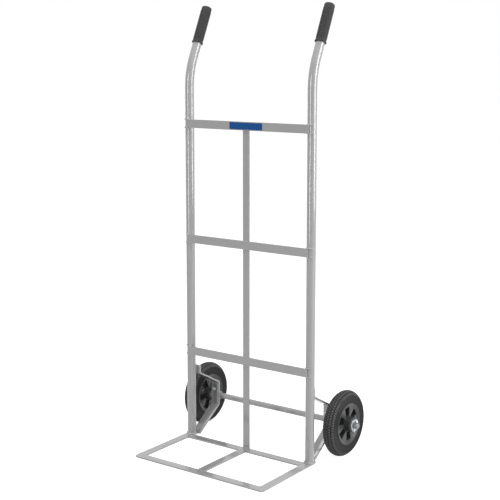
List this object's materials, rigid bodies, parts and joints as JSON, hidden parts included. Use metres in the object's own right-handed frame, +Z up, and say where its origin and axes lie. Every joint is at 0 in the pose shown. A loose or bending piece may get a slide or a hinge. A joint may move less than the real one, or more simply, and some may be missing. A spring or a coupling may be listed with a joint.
{
  "type": "hand truck",
  "caption": "Upright hand truck with bent tube uprights, flat bar crossbars, an open flat bar toe frame and solid tyre wheels on a fixed axle.",
  "frame": {"origin": "on the floor, at the centre of the truck's outer box", "axes": "+Z up, +X to the right as seen from the load side, +Y towards the wheels at the back"},
  "size_m": [0.6206, 0.4793, 1.3314],
  "materials": {
    "grey_paint": "satin",
    "zinc_plate": "satin",
    "black_vinyl": "matte",
    "black_rubber": "matte",
    "black_plastic": "satin",
    "bush_nylon": "satin",
    "blue_film": "gloss"
  },
  "bodies": {
    "frame": {"upright_left": "grey_paint", "upright_right": "grey_paint", "crossbar_top": "grey_paint", "crossbar_middle": "grey_paint", "crossbar_lower": "grey_paint", "centre_strap": "grey_paint", "toe_front_bar": "grey_paint", "toe_side_bar_left": "grey_paint", "toe_side_bar_right": "grey_paint", "toe_rear_bar": "grey_paint", "toe_centre_bar": "grey_paint", "axle_bracket_left": "grey_paint", "axle_bracket_right": "grey_paint", "axle": "grey_paint", "axle_clip_left": "grey_paint", "axle_clip_right": "grey_paint", "clip_bolt_left": "zinc_plate", "clip_bolt_right": "zinc_plate", "clip_nut_left": "zinc_plate", "clip_nut_right": "zinc_plate", "grip_left": "black_vinyl", "grip_right": "black_vinyl", "label_plate": "blue_film", "inner_washer_left": "zinc_plate", "inner_washer_right": "zinc_plate", "outer_washer_left": "zinc_plate", "outer_washer_right": "zinc_plate", "split_pin_left": "zinc_plate", "split_pin_right": "zinc_plate"},
    "wheel_left": {"tyre_left": "black_rubber", "rim_outer_half_left": "black_plastic", "rim_inner_half_left": "black_plastic", "hub_bush_left": "bush_nylon", "rim_screw_left_1": "zinc_plate", "rim_screw_left_2": "zinc_plate", "rim_screw_left_3": "zinc_plate", "rim_screw_left_4": "zinc_plate", "rim_screw_left_5": "zinc_plate", "rim_screw_left_6": "zinc_plate"},
    "wheel_right": {"tyre_right": "black_rubber", "rim_outer_half_right": "black_plastic", "rim_inner_half_right": "black_plastic", "hub_bush_right": "bush_nylon", "rim_screw_right_1": "zinc_plate", "rim_screw_right_2": "zinc_plate", "rim_screw_right_3": "zinc_plate", "rim_screw_right_4": "zinc_plate", "rim_screw_right_5": "zinc_plate", "rim_screw_right_6": "zinc_plate"}
  },
  "joints": [
    {"name": "wheel_left_spin", "type": "hinge", "parent": "frame", "child": "wheel_left", "pos_m": [-0.26, 0.14125, 0.0985], "axis": [1, 0, 0], "continuous": true},
    {"name": "wheel_right_spin", "type": "hinge", "parent": "frame", "child": "wheel_right", "pos_m": [0.26, 0.14125, 0.0985], "axis": [1, 0, 0], "continuous": true}
  ]
}
